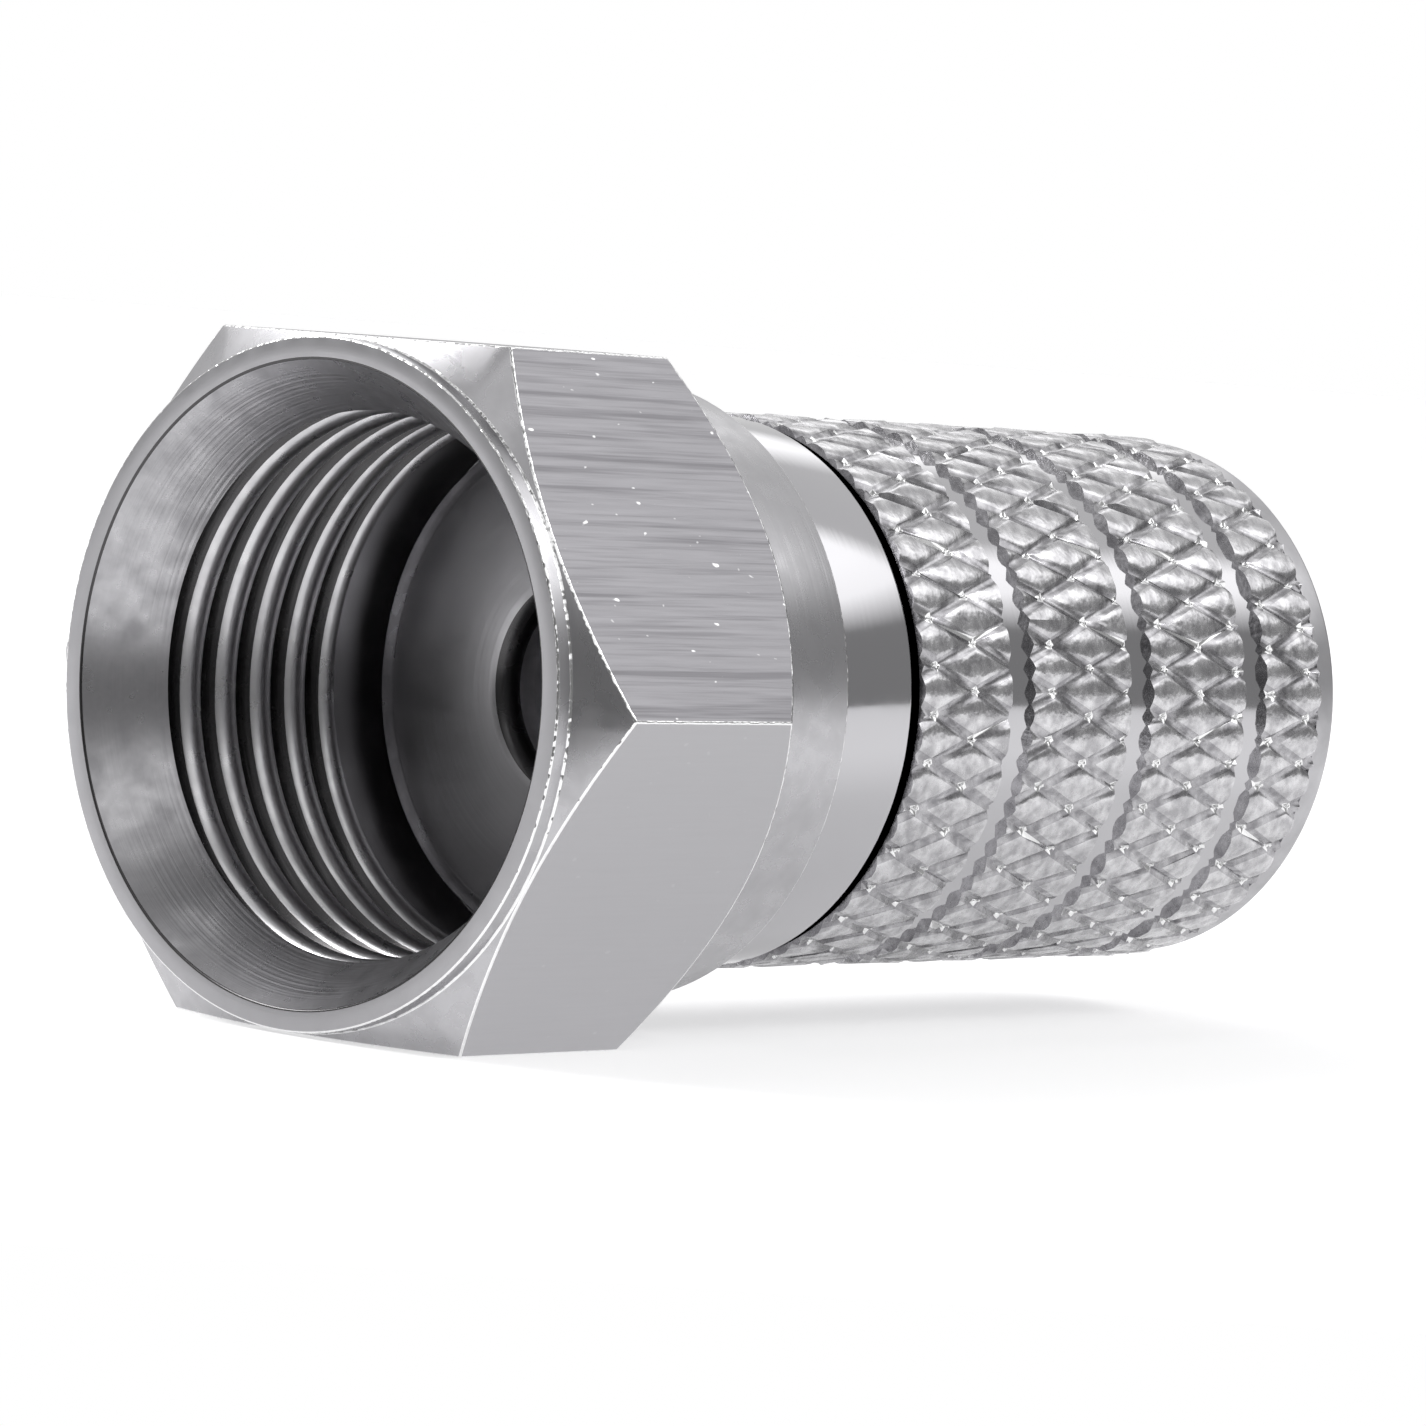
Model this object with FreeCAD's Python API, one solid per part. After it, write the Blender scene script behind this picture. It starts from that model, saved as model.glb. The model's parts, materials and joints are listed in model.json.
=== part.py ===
import FreeCAD, Part
import math
import os

# Screw-on coaxial F connector: a coupling nut that turns freely on a one-piece connector body
# Units are millimetres and degrees
# X runs along the connector, from the centre of the nut's open mouth to the cable end, and +Z is up

# Coupling nut, inside: a 3/8-32 thread, with the bore at its crests
THREAD_PITCH = 25.4 / 32
THREAD_DIAMETER = 9.525
THREAD_DEPTH_SHARE = 5 / 8
THREAD_LENGTH = 3.67
MOUTH_STEP = 0.76
MOUTH_CONE_LENGTH = 1.32
RELIEF_STEP = 0.27
RELIEF_LENGTH = 1.65
LIP_THICKNESS = 0.51

# Coupling nut, outside: the wall outside the thread makes the hexagon 11 mm across its flats
HEXAGON_SIDES = 6
FLAT_WALL = 0.7375
FACE_LAND_MARGIN = 0.05
FACE_LAND_HEIGHT = 0.28
FRONT_CHAMFER_ANGLE = 30.0
REAR_CHAMFER_ANGLE = 48.0
COLLAR_STEP = 0.4
COLLAR_LENGTH = 1.38
COLLAR_BEVEL = 0.12

# Running fit of the nut on the body's neck
NECK_DIAMETER = 6.8
NECK_CLEARANCE = 0.05
END_PLAY = 0.05

# Connector body, front flange inside the nut
FLANGE_CLEARANCE = 0.35
FLANGE_THICKNESS = 0.55
FLANGE_RIM_WIDTH = 0.3
DISH_DEPTH = 0.22
HOLE_RIM_BEVEL = 0.35
WIRE_HOLE_DIAMETER = 3.2

# Connector body, outside: the wall is from the cable bore to the knurl's crests
BODY_WALL = 1.25
BAND_STEP = 0.05
BAND_LENGTH = 2.25
BAND_BEVEL = 0.15
UNDERCUT_WIDTH = 0.15
UNDERCUT_DEPTH = 0.12
FIRST_KNURL_LENGTH = 2.25
MIDDLE_KNURL_LENGTH = 2.575
LAST_KNURL_LENGTH = 1.55
MIDDLE_KNURLS = 2
GROOVE_WIDTH = 0.6
GROOVE_DEPTH = 0.03
RIM_LENGTH = 0.7
RIM_STEP = 0.08
RIM_BEVEL = 0.25

# Diamond knurl
KNURL_DEPTH = 0.1
KNURL_COUNT = 36
KNURL_ANGLE = 21.5
KNURL_CREST_SHARE = 0.55

# Connector body, cable side
CABLE_BORE_DIAMETER = 6.8
FRONT_WALL = 1.0
CABLE_MOUTH_BEVEL = 0.3

# How far a blank or a cutter reaches past the finished surface
CUT_MARGIN = 1.0

# Worked out from the sizes above: nut
sharp_thread_height = THREAD_PITCH * math.sqrt(3) / 2
thread_crest_radius = THREAD_DIAMETER / 2 - THREAD_DEPTH_SHARE * sharp_thread_height
mouth_radius = thread_crest_radius + MOUTH_STEP
thread_end = MOUTH_CONE_LENGTH + THREAD_LENGTH
relief_radius = thread_crest_radius + RELIEF_STEP
lip_front = thread_end + RELIEF_LENGTH
lip_hole_radius = NECK_DIAMETER / 2 + NECK_CLEARANCE
nut_length = lip_front + LIP_THICKNESS
flat_distance = THREAD_DIAMETER / 2 + FLAT_WALL
corner_radius = flat_distance / math.cos(math.pi / HEXAGON_SIDES)
land_radius = flat_distance - FACE_LAND_MARGIN
collar_radius = flat_distance - COLLAR_STEP
collar_start = nut_length - COLLAR_LENGTH

# Worked out from the sizes above: body, from its front face to its cable end
neck_radius = NECK_DIAMETER / 2
flange_radius = relief_radius - FLANGE_CLEARANCE
flange_back = lip_front - END_PLAY
flange_front = flange_back - FLANGE_THICKNESS
dish_radius = flange_radius - FLANGE_RIM_WIDTH
dish_floor = flange_front + DISH_DEPTH
wire_hole_radius = WIRE_HOLE_DIAMETER / 2
shoulder = nut_length + END_PLAY
cable_bore_radius = CABLE_BORE_DIAMETER / 2
cable_bore_front = shoulder + FRONT_WALL
crest_radius = cable_bore_radius + BODY_WALL
band_radius = crest_radius - BAND_STEP
band_end = shoulder + BAND_LENGTH
knurl_start = band_end + UNDERCUT_WIDTH
root_radius = crest_radius - KNURL_DEPTH
groove_radius = root_radius - GROOVE_DEPTH
undercut_radius = groove_radius - UNDERCUT_DEPTH
rim_radius = crest_radius - RIM_STEP

# Knurled stretches as (start, end) pairs, parted by plain grooves
knurl_lengths = [FIRST_KNURL_LENGTH] + [MIDDLE_KNURL_LENGTH] * MIDDLE_KNURLS + [LAST_KNURL_LENGTH]
knurl_spans = []
span_start = knurl_start
for length in knurl_lengths:
    knurl_spans.append((span_start, span_start + length))
    span_start += length + GROOVE_WIDTH
knurl_end = knurl_spans[-1][1]
body_end = knurl_end + RIM_LENGTH

# Spacing of the knurl's diamonds
half_step = math.pi / KNURL_COUNT
ring_spacing = root_radius * half_step / math.tan(math.radians(KNURL_ANGLE))
apex_radius = root_radius + KNURL_DEPTH / (1 - KNURL_CREST_SHARE)


def section_point(x, radius):
    """Point of a turned section, drawn in the XZ plane above the X axis."""
    return FreeCAD.Vector(x, 0, radius)


def bevelled_outline(corners):
    """Closed wire through (x, radius) or (x, radius, bevel) corners, cut straight across at the bevels."""
    points = []
    for index, corner in enumerate(corners):
        here = section_point(*corner[:2])
        if len(corner) < 3:
            points.append(here)
            continue
        for neighbour in (corners[index - 1], corners[(index + 1) % len(corners)]):
            towards = (section_point(*neighbour[:2]) - here).normalize()
            points.append(here + towards * corner[2])
    return Part.makePolygon(points + points[:1])


def turned(corners):
    """Solid of revolution about the X axis of a closed section."""
    face = Part.Face(bevelled_outline(corners))
    return face.revolve(FreeCAD.Vector(0, 0, 0), FreeCAD.Vector(1, 0, 0), 360)


def hexagon_prism(length):
    """Hexagonal bar along X with a flat underneath."""
    corners = []
    for index in range(HEXAGON_SIDES + 1):
        angle = 2 * math.pi * index / HEXAGON_SIDES
        corners.append(FreeCAD.Vector(0, corner_radius * math.cos(angle), corner_radius * math.sin(angle)))
    return Part.Face(Part.makePolygon(corners)).extrude(FreeCAD.Vector(length, 0, 0))


def coupling_nut():
    """Hexagon nut with a land at its mouth, chamfered ends, a rear collar and a lip around the neck."""
    blank_radius = corner_radius + CUT_MARGIN
    front_cone = (blank_radius - land_radius) * math.tan(math.radians(FRONT_CHAMFER_ANGLE))
    rear_cone = (blank_radius - collar_radius) * math.tan(math.radians(REAR_CHAMFER_ANGLE))
    section = [
        (0, mouth_radius),
        (0, land_radius),
        (FACE_LAND_HEIGHT, land_radius),
        (FACE_LAND_HEIGHT + front_cone, blank_radius),
        (collar_start - rear_cone, blank_radius),
        (collar_start, collar_radius),
        (nut_length, collar_radius, COLLAR_BEVEL),
        (nut_length, lip_hole_radius),
        (lip_front, lip_hole_radius),
        (lip_front, relief_radius),
        (thread_end + RELIEF_STEP, relief_radius),
        (thread_end, thread_crest_radius),
        (MOUTH_CONE_LENGTH, thread_crest_radius),
    ]
    return turned(section).common(hexagon_prism(nut_length))


def knurl_point(x, radius, angle):
    """Point on the knurled stretch by its place along X, radius and angle about X."""
    return FreeCAD.Vector(x, radius * math.cos(angle), radius * math.sin(angle))


def crest_corner(valley, apex, outward):
    """Point where the ridge from a valley crossing to the apex meets the diamond's flat crest."""
    fall = (apex - valley).dot(outward)
    return apex + (valley - apex) * ((apex_radius - crest_radius) / fall)


def flat_face(points):
    """Plane face through three or more points."""
    return Part.Face(Part.makePolygon(points + points[:1]))


def knurl_diamond(x, angle, has_front, has_back):
    """Faces of the front half, the back half or both of one diamond, and its edge points at mid-length."""
    outward = knurl_point(0, 1, angle)
    apex = knurl_point(x, apex_radius, angle)
    left = knurl_point(x, root_radius, angle - half_step)
    right = knurl_point(x, root_radius, angle + half_step)
    crest_left = crest_corner(left, apex, outward)
    crest_right = crest_corner(right, apex, outward)
    crest = [crest_left]
    faces = []
    for side, present in ((-1, has_front), (1, has_back)):
        if present:
            tip = knurl_point(x + side * ring_spacing, root_radius, angle)
            crest_tip = crest_corner(tip, apex, outward)
            faces.append(flat_face([crest_tip, tip, left, crest_left]))
            faces.append(flat_face([crest_tip, tip, right, crest_right]))
            crest.append(crest_tip)
        if side < 0:
            crest.append(crest_right)
    faces.append(flat_face(crest))
    return faces, [left, crest_left, crest_right]


def knurled_bar(start, rings):
    """Solid bar whose surface is rings of diamonds, spaced from start on, with half diamonds at both ends."""
    faces = []
    for ring in range(rings):
        rim = []
        for index in range(KNURL_COUNT):
            angle = (2 * index + ring % 2) * half_step
            x = start + ring * ring_spacing
            diamond, edge_points = knurl_diamond(x, angle, ring > 0, ring < rings - 1)
            faces.extend(diamond)
            rim.extend(edge_points)
        if ring in (0, rings - 1):
            faces.append(flat_face(rim))
    shell = Part.makeShell(faces)
    shell.sewShape()
    return Part.makeSolid(shell)


def knurled_disc(start, end):
    """Slice of a knurled bar between two places along X, with a ring of diamonds centred on its start."""
    rings = math.ceil((end - start) / ring_spacing) + 3
    slab = Part.makeCylinder(
        apex_radius + CUT_MARGIN, end - start, FreeCAD.Vector(start, 0, 0), FreeCAD.Vector(1, 0, 0)
    )
    return knurled_bar(start - ring_spacing, rings).common(slab)


def connector_body():
    """Turned body: flange, neck, plain band, knurled stretches with grooves, rim and cable bore."""
    outside = [
        (flange_front, 0),
        (flange_front, flange_radius),
        (flange_back, flange_radius),
        (flange_back, neck_radius),
        (shoulder, neck_radius),
        (shoulder, band_radius),
        (band_end, band_radius, BAND_BEVEL),
        (band_end, undercut_radius),
        (knurl_start, undercut_radius),
        (knurl_start, groove_radius),
        (knurl_end, groove_radius),
        (knurl_end, rim_radius),
        (body_end, rim_radius, RIM_BEVEL),
        (body_end, 0),
    ]
    inside = [
        (flange_front - CUT_MARGIN, 0),
        (flange_front - CUT_MARGIN, dish_radius),
        (flange_front, dish_radius),
        (dish_floor, wire_hole_radius, HOLE_RIM_BEVEL),
        (cable_bore_front, wire_hole_radius),
        (cable_bore_front, cable_bore_radius),
        (body_end - CABLE_MOUTH_BEVEL, cable_bore_radius),
        (body_end, cable_bore_radius + CABLE_MOUTH_BEVEL),
        (body_end + CUT_MARGIN, cable_bore_radius + CABLE_MOUTH_BEVEL),
        (body_end + CUT_MARGIN, 0),
    ]
    discs = [knurled_disc(start, end) for start, end in knurl_spans]
    return turned(outside).fuse(discs).cut(turned(inside))


def write_step(shape, name):
    """Check that a piece is one closed solid and write it."""
    if len(shape.Solids) != 1 or not shape.isValid():
        raise ValueError(name + " is not one valid solid")
    shape.Solids[0].exportStep(os.path.join("parts", name + ".step"))


os.makedirs("parts", exist_ok=True)
write_step(coupling_nut(), "coupling_nut")
write_step(connector_body(), "connector_body")
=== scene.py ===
import json
import math

import bmesh
import bpy
from bpy.props import FloatProperty, FloatVectorProperty, IntProperty, PointerProperty
from mathutils import Matrix, Vector


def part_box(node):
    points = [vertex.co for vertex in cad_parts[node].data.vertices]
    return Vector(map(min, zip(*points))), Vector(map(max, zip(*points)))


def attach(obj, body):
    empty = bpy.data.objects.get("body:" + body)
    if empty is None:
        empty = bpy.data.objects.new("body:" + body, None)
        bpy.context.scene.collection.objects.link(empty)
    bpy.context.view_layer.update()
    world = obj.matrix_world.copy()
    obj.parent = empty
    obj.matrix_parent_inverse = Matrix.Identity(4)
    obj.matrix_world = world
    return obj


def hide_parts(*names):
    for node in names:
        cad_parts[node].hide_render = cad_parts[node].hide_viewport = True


bl_info = {
    "name": "Coaxial F Connector",
    "version": (1, 0, 0),
    "blender": (4, 5, 0),
    "location": "3D Viewport > Sidebar > Connector",
    "description": "Models and lights a screw-on coaxial F connector in nickel-plated brass",
    "category": "Add Mesh",
}

MM = 0.001

NUT_SEGMENTS = 192
BODY_SEGMENTS = 160
THREAD_STEPS = 96
CORE_SEGMENTS = 96
FLOOR_SEGMENTS = 256
ROUNDING_STEPS = 4
MERGE_DISTANCE = 0.001 * MM
CUT_TOLERANCE = 0.0001 * MM
ALONG_X = (0, math.pi / 2, 0)

# Half of a thread's profile, from a crest to the root: shares of the pitch and of the depth
THREAD_FLANK = [(0, 0), (0.08, 0.018), (0.14, 0.055), (0.2, 0.12), (0.25, 0.2), (0.29, 0.3),
                (0.455, 0.96), (0.48, 1)]

# Name, place, aim, width, length across the connector and power of each lamp
LAMPS = (
    ("overhead_lamp", (-0.08, 0.02, 0.35), (0.005, 0.02, 0), 0.08, 0.7, 0.12),
    ("front_lamp", (-0.12, 0.198, 0.19), (0.003, 0, -0.004), 0.12, 0.12, 0.45),
    ("side_lamp", (0.108, -0.189, 0.207), (0.003, 0, 0), 0.06, 0.06, 0.09),
)

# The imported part: X runs from the nut's open mouth to the cable end, +Z is up
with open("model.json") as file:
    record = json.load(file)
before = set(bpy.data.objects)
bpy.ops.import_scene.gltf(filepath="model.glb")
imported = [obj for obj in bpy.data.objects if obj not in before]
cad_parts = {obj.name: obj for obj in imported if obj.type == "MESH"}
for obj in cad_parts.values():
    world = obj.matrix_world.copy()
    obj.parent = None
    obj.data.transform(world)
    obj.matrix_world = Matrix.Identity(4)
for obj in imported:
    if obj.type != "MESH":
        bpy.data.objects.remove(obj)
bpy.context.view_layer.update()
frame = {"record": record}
nut_low, nut_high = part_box("coupling_nut")
body_low, body_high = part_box("connector_body")
mounts = {mount["name"]: mount for mount in frame["record"]["mounts"]}


def mount_radius(name):
    """Radius of a stated bore, in metres."""
    return mounts[name]["dims"]["r_mm"] * MM


def mount_span(name):
    """Where a stated bore starts and ends along X, in metres."""
    middle = mounts[name]["pos_m"][0]
    half_length = mounts[name]["dims"]["length_mm"] * MM / 2
    return middle - half_length, middle + half_length


def distance(label, text, value):
    """A length that a user would change, given in metres."""
    return FloatProperty(name=label, description=text, default=value, min=0.0, precision=5,
                         unit="LENGTH", subtype="DISTANCE")


def angle(label, text, degrees):
    """An angle that a user would change, given in degrees."""
    return FloatProperty(name=label, description=text, default=math.radians(degrees),
                         unit="ROTATION", subtype="ANGLE")


def colour(label, text, value):
    """A colour that a user would change."""
    return FloatVectorProperty(name=label, description=text, default=value, size=3, min=0.0,
                               max=1.0, subtype="COLOR")


class NutSizes(bpy.types.PropertyGroup):
    """Sizes of the coupling nut."""
    length: distance("Length", "From the open mouth to the back of the collar", nut_high.x)
    flat_distance: distance("Flat Distance", "From the axis to a flat of the hexagon", nut_high.z)
    land_margin: distance("Land Margin", "How far the face land lies inside the flats", 0.05 * MM)
    land_height: distance("Land Height", "Length of the face land's outer edge", 0.28 * MM)
    front_chamfer: angle("Front Chamfer", "Slope of the front chamfer from the mouth's plane", 30)
    rear_chamfer: angle("Rear Chamfer", "Slope of the rear cone from a plane across the axis", 48)
    collar_step: distance("Collar Step", "How far the collar lies inside the flats", 0.4 * MM)
    collar_length: distance("Collar Length", "Length of the round collar behind the hexagon",
                            1.38 * MM)
    mouth_step: distance("Mouth Step", "How much wider the mouth is than the thread's crests",
                         0.76 * MM)
    relief_step: distance("Relief Step", "How much wider the hollow behind the thread is",
                          0.27 * MM)
    relief_length: distance("Relief Length", "Length of the hollow behind the thread", 1.65 * MM)
    neck_hole: distance("Neck Hole", "Radius of the hole in the rear lip", 3.45 * MM)
    edge: distance("Edge Rounding", "Width of the rounded edges", 0.09 * MM)
    pitch: distance("Thread Pitch", "Pitch of the 3/8-32 thread", 25.4 / 32 * MM)
    thread_depth: distance("Thread Depth", "From the thread's crests to its roots", 0.43 * MM)


class BodySizes(bpy.types.PropertyGroup):
    """Sizes of the connector body."""
    flange_length: distance("Flange Length", "Length of the front flange inside the nut",
                            0.55 * MM)
    flange_radius: distance("Flange Radius", "Radius of the front flange", 4.253 * MM)
    flange_rim: distance("Flange Rim", "Width of the flat rim around the dish", 0.3 * MM)
    dish_depth: distance("Dish Depth", "Depth of the dish in the flange", 0.22 * MM)
    hole_rim: distance("Hole Rim", "Rounding of the wire hole's front rim", 0.4 * MM)
    neck_radius: distance("Neck Radius", "Radius of the neck that the nut turns on", 3.4 * MM)
    end_play: distance("End Play", "Gap between the nut and the body's shoulder", 0.05 * MM)
    band_length: distance("Band Length", "Length of the plain band behind the nut", 2.25 * MM)
    band_step: distance("Band Step", "How far the band lies under the knurl's crests", 0.05 * MM)
    band_bevel: distance("Band Bevel", "Bevel at the back of the plain band", 0.15 * MM)
    undercut: distance("Undercut", "Width of the narrow groove behind the plain band", 0.15 * MM)
    undercut_depth: distance("Undercut Depth", "How far the narrow groove lies under the others",
                             0.12 * MM)
    first_knurl: distance("First Knurl", "Length of the knurled stretch next to the band",
                          2.25 * MM)
    middle_knurl: distance("Middle Knurl", "Length of the two middle knurled stretches",
                           2.575 * MM)
    last_knurl: distance("Last Knurl", "Length of the knurled stretch next to the rim", 1.55 * MM)
    groove_width: distance("Groove Width", "Width of the plain grooves between the knurls",
                           0.6 * MM)
    groove_depth: distance("Groove Depth", "How far the grooves lie under the knurl's roots",
                           0.03 * MM)
    rim_step: distance("Rim Step", "How far the end rim lies under the knurl's crests", 0.08 * MM)
    rim_bevel: distance("Rim Bevel", "Bevel of the end rim", 0.25 * MM)
    mouth_bevel: distance("Mouth Bevel", "Bevel of the cable bore's mouth", 0.3 * MM)
    knurl_depth: distance("Knurl Depth", "From the knurl's crests to its roots", 0.1 * MM)
    knurl_place: distance("Knurl Place", "Where the first crossing of the knurl's grooves lies",
                          9.95 * MM)
    knurl_angle: angle("Knurl Angle", "Slope of the knurl's grooves from the axis", 21.5)
    knurl_count: IntProperty(name="Knurl Count", description="Diamonds around the body",
                             default=36, min=8)
    flank_width: distance("Flank Width", "Width of a diamond's flank, seen from above", 0.1 * MM)
    shoulder_width: distance("Shoulder Width", "Width of the soft edge of a diamond's crest",
                             0.08 * MM)
    shoulder_drop: distance("Shoulder Drop", "Height of the soft edge of a diamond's crest",
                            0.03 * MM)
    pit_width: distance("Pit Width", "Width of the pit where the knurl's grooves cross", 0.22 * MM)
    pit_depth: distance("Pit Depth", "Depth of the pit where the knurl's grooves cross",
                        0.024 * MM)
    roughing: distance("Roughing", "How far the crests stray from a perfect knurl", 0.018 * MM)
    jacket_pitch: distance("Jacket Thread Pitch", "Pitch of the coarse thread in the cable bore",
                           1.25 * MM)
    jacket_depth: distance("Jacket Thread Depth", "Depth of the coarse thread in the cable bore",
                           0.3 * MM)


class Finish(bpy.types.PropertyGroup):
    """Colours of the plating, of the shade and highlights painted on it, and of the studio."""
    nickel: colour("Nickel", "Colour of the clean nickel plating", (0.51, 0.505, 0.522))
    worn: colour("Worn Nickel", "Colour of the plating where it is rubbed bright",
                 (0.68, 0.675, 0.69))
    # This colour is painted as a highlight on the rounded edges, the knurl's pits and specks on
    # the flats.
    glint: colour("Polished Nickel", "Colour of the plating in small polished places",
                  (0.9, 0.9, 0.905))
    dull: colour("Dull Nickel", "Colour of the plating where it is matt or soiled",
                 (0.42, 0.415, 0.43))
    # This colour is painted as shade on the upward flats and in the knurl's grooves, and darkens
    # blotches on the mouth faces.
    shade_and_dark_nickel: colour("Brushed Nickel", "Colour of the drawn flats between their lines",
                    (0.28, 0.275, 0.29))
    lines: colour("Brush Lines", "Colour of the fine lines on the drawn flats",
                  (0.19, 0.186, 0.198))
    # This colour is painted as shade on the thread's flanks and roots and on the neck inside the
    # nut.
    painted_shade: colour("Inner Nickel", "Colour of the thin, soiled plating inside the nut",
                   (0.085, 0.083, 0.085))
    floor: colour("Floor", "Colour of the floor", (0.7, 0.7, 0.705))
    white: FloatProperty(name="Background", description="Brightness of the white background",
                         default=1.0)


def unselect():
    """Leave edit mode, with nothing selected."""
    if bpy.context.object and bpy.context.object.mode == "EDIT":
        bpy.ops.object.mode_set(mode="OBJECT")
    bpy.ops.object.select_all(action="DESELECT")


def make_active(piece):
    """Select one piece alone and make it the active one."""
    unselect()
    piece.select_set(True)
    bpy.context.view_layer.objects.active = piece


def edit(piece):
    """Go into edit mode on one piece, with nothing in it selected."""
    make_active(piece)
    bpy.ops.object.mode_set(mode="EDIT")
    bpy.ops.mesh.select_all(action="DESELECT")


def done():
    """Leave edit mode."""
    bpy.ops.object.mode_set(mode="OBJECT")


def start_piece(name):
    """Name the primitive that was just added and put its place into its mesh."""
    piece = bpy.context.object
    piece.name = name
    piece.data.name = name
    bpy.ops.object.transform_apply(location=True, rotation=True, scale=True)
    return piece


def apply_modifier(piece, kind, **settings):
    """Add a modifier with these settings and apply it."""
    make_active(piece)
    modifier = piece.modifiers.new(kind.title(), kind)
    for key, value in settings.items():
        setattr(modifier, key, value)
    bpy.ops.object.modifier_apply(modifier=modifier.name)


def cut_across(place, keep_behind, fill):
    """Cut the mesh in edit mode by a plane across X, and keep the side behind or before it."""
    bpy.ops.mesh.select_all(action="SELECT")
    bpy.ops.mesh.bisect(plane_co=(place, 0, 0), plane_no=(1, 0, 0), threshold=CUT_TOLERANCE,
                        use_fill=fill, clear_inner=keep_behind, clear_outer=not keep_behind)


def facing_out(piece):
    """Merge doubled points and turn all faces outwards."""
    edit(piece)
    bpy.ops.mesh.select_all(action="SELECT")
    bpy.ops.mesh.remove_doubles(threshold=MERGE_DISTANCE)
    bpy.ops.mesh.normals_make_consistent(inside=False)
    done()


def combine(piece, other, operation):
    """Join, cut or intersect a piece with another, which is used up, and merge doubled points."""
    apply_modifier(piece, "BOOLEAN", object=other, operation=operation, solver="EXACT")
    bpy.data.objects.remove(other)
    facing_out(piece)


def rounded(corners):
    """Points of a section's corners (x, radius), or of arcs where a corner has a rounding."""
    points = []
    for index, corner in enumerate(corners):
        here = Vector(corner[:2])
        if len(corner) < 3:
            points.append(here)
            continue
        back = (Vector(corners[index - 1][:2]) - here).normalized()
        ahead = (Vector(corners[(index + 1) % len(corners)][:2]) - here).normalized()
        half_angle = back.angle(ahead) / 2
        middle = here + (back + ahead).normalized() * corner[2] / math.sin(half_angle)
        first = (here + back * corner[2] / math.tan(half_angle) - middle).normalized()
        last = (here + ahead * corner[2] / math.tan(half_angle) - middle).normalized()
        for step in range(ROUNDING_STEPS + 1):
            points.append(middle + first.slerp(last, step / ROUNDING_STEPS) * corner[2])
    return points


def turned(name, section, segments):
    """Round piece about the X axis, turned from a closed section of (x, radius) points."""
    x, radius = section[0]
    unselect()
    bpy.ops.mesh.primitive_circle_add(vertices=segments, radius=radius, location=(x, 0, 0),
                                      rotation=ALONG_X)
    piece = start_piece(name)
    edit(piece)
    bpy.ops.mesh.select_all(action="SELECT")
    for next_x, next_radius in list(section[1:]) + [section[0]]:
        bpy.ops.mesh.extrude_region_move(TRANSFORM_OT_translate={"value": (next_x - x, 0, 0)})
        ratio = next_radius / radius
        bpy.ops.transform.resize(value=(1, ratio, ratio), center_override=(next_x, 0, 0))
        x = next_x
        radius = next_radius
    done()
    facing_out(piece)
    return piece


def hexagon_bar(name, flat_distance, start, end):
    """Hexagonal bar along X with a flat underneath and corners at +Y and -Y."""
    unselect()
    corner_radius = flat_distance / math.cos(math.pi / 6)
    bpy.ops.mesh.primitive_cylinder_add(vertices=6, radius=corner_radius, depth=end - start,
                                        location=((start + end) / 2, 0, 0), rotation=ALONG_X)
    return start_piece(name)


def screw_plug(name, core, depth, pitch, start, end):
    """Solid screw about X that cuts an inner thread and leaves its crests at the core radius."""
    shares = THREAD_FLANK + [(1 - along, height) for along, height in reversed(THREAD_FLANK)]
    profile = [(along * pitch, height * depth) for along, height in shares]
    first = start - 2 * pitch
    unselect()
    bpy.ops.mesh.primitive_plane_add(size=depth, location=(first, 0, core))
    plug = start_piece(name)
    edit(plug)
    mesh = bmesh.from_edit_mesh(plug.data)
    mesh.verts.ensure_lookup_table()
    mesh.verts[0].co = (first, 0, core)
    for vertex in mesh.verts[1:]:
        vertex.select_set(True)
    bmesh.update_edit_mesh(plug.data)
    bpy.ops.mesh.delete(type="VERT")
    bpy.ops.mesh.select_all(action="SELECT")
    for before, after in zip(profile, profile[1:]):
        step = (after[0] - before[0], 0, after[1] - before[1])
        bpy.ops.mesh.extrude_region_move(TRANSFORM_OT_translate={"value": step})
    done()
    turns = math.ceil((end - start) / pitch) + 4
    apply_modifier(plug, "SCREW", axis="X", angle=2 * math.pi, screw_offset=pitch,
                   iterations=turns, steps=THREAD_STEPS, render_steps=THREAD_STEPS,
                   use_merge_vertices=True, merge_threshold=2 * MERGE_DISTANCE)
    facing_out(plug)
    edit(plug)
    cut_across(start, True, True)
    cut_across(end, False, True)
    done()
    facing_out(plug)
    return plug


def nut_section(sizes):
    """Closed section of the nut's turned form, with its bore inside the thread's crests."""
    turning_allowance = 1.0 * MM
    crest_allowance = 0.02 * MM
    blank = sizes.flat_distance / math.cos(math.pi / 6) + turning_allowance
    land = sizes.flat_distance - sizes.land_margin
    collar = sizes.flat_distance - sizes.collar_step
    collar_start = sizes.length - sizes.collar_length
    crest = mount_radius("coupling_thread")
    thread_start, thread_end = mount_span("coupling_thread")
    mouth = crest + sizes.mouth_step
    bore = crest - crest_allowance
    bore_start = thread_start * (mouth - bore) / sizes.mouth_step
    relief = crest + sizes.relief_step
    lip_front = thread_end + sizes.relief_length
    front_cone = (blank - land) * math.tan(sizes.front_chamfer)
    rear_cone = (blank - collar) * math.tan(sizes.rear_chamfer)
    return rounded([
        (0, mouth),
        (0, land),
        (sizes.land_height, land),
        (sizes.land_height + front_cone, blank),
        (collar_start - rear_cone, blank),
        (collar_start, collar),
        (sizes.length, collar),
        (sizes.length, sizes.neck_hole),
        (lip_front, sizes.neck_hole),
        (lip_front, relief),
        (thread_end + sizes.relief_step, relief),
        (thread_end, bore),
        (bore_start, bore),
    ])


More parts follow.
